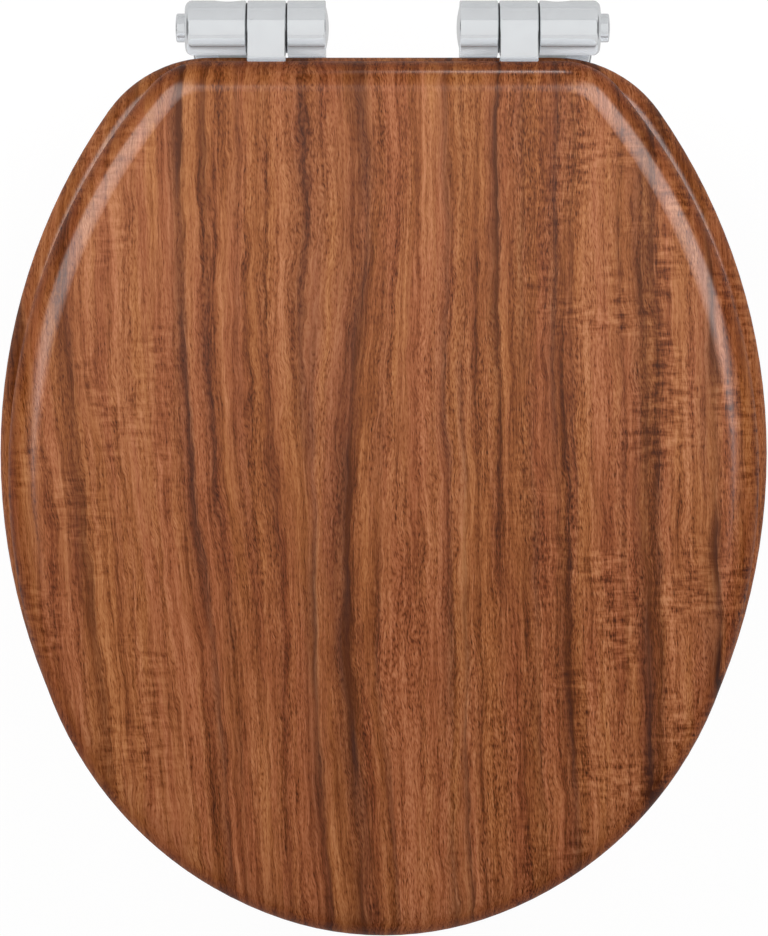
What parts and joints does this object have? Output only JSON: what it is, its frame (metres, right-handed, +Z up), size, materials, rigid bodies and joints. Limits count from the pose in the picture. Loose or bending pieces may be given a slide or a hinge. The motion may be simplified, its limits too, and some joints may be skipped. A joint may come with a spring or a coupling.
{
  "type": "toilet seat",
  "caption": "Wooden toilet seat: a lacquered ring and lid on chromed soft-close barrel hinges with push-button release, bolted to the bowl by threaded studs.",
  "frame": {"origin": "midway between the two fixing studs, on the top of the bowl", "axes": "+X to the right, +Y back to the cistern, +Z up; the front faces -Y"},
  "size_m": [0.375, 0.4539, 0.1105],
  "materials": {
    "lacquered_wood": "glossy clear lacquer over reddish-brown figured wood",
    "chrome": "polished chrome plate",
    "chrome_plastic": "chrome-plated plastic",
    "steel": "turned stainless steel",
    "zinc_steel": "bright zinc plate",
    "black_plastic": "moulded black polymer",
    "white_plastic": "moulded white polymer",
    "grey_rubber": "soft dark grey rubber",
    "clear_rubber": "translucent pale rubber"
  },
  "bodies": {
    "hinge_base": {"left_hinge_body": "chrome", "right_hinge_body": "chrome", "left_hinge_shaft": "steel", "right_hinge_shaft": "steel", "left_mounting_post": "steel", "right_mounting_post": "steel", "left_base_plate": "chrome", "right_base_plate": "chrome", "left_base_gasket": "grey_rubber", "right_base_gasket": "grey_rubber", "left_fixing_stud": "zinc_steel", "right_fixing_stud": "zinc_steel", "left_latch_spring": "steel", "right_latch_spring": "steel", "knuckle_washers": "black_plastic", "shaft_clips": "steel", "nut_washers": "grey_rubber", "wing_nuts": "white_plastic"},
    "ring": {"seat_ring": "lacquered_wood", "left_ring_hinge_arm": "chrome", "right_ring_hinge_arm": "chrome", "left_ring_damper": "black_plastic", "right_ring_damper": "black_plastic", "left_end_cap": "chrome", "right_end_cap": "chrome", "ring_screws": "zinc_steel", "ring_buffers": "clear_rubber"},
    "lid": {"lid": "lacquered_wood", "left_lid_hinge_arm": "chrome", "right_lid_hinge_arm": "chrome", "left_lid_damper": "black_plastic", "right_lid_damper": "black_plastic", "lid_screws": "zinc_steel", "lid_buffers": "clear_rubber"},
    "left_release": {"left_release_button": "chrome_plastic", "left_latch_slide": "white_plastic"},
    "right_release": {"right_release_button": "chrome_plastic", "right_latch_slide": "white_plastic"}
  },
  "joints": [
    {"name": "ring_hinge", "type": "hinge", "parent": "hinge_base", "child": "ring", "pos_m": [0, 0.0098, 0.0211], "axis": [-1, 0, 0], "range_deg": [0, 95]},
    {"name": "lid_hinge", "type": "hinge", "parent": "ring", "child": "lid", "pos_m": [0, 0.0098, 0.0211], "axis": [-1, 0, 0], "range_deg": [0, 100]},
    {"name": "left_release_press", "type": "slide", "parent": "hinge_base", "child": "left_release", "axis": [1, 0, 0], "range_m": [0, 0.0017], "stiffness_N_per_m": 1200, "springref_m": -0.002, "deforming": ["left_latch_spring"]},
    {"name": "right_release_press", "type": "slide", "parent": "hinge_base", "child": "right_release", "axis": [-1, 0, 0], "range_m": [0, 0.0017], "stiffness_N_per_m": 1200, "springref_m": -0.002, "deforming": ["right_latch_spring"]}
  ]
}
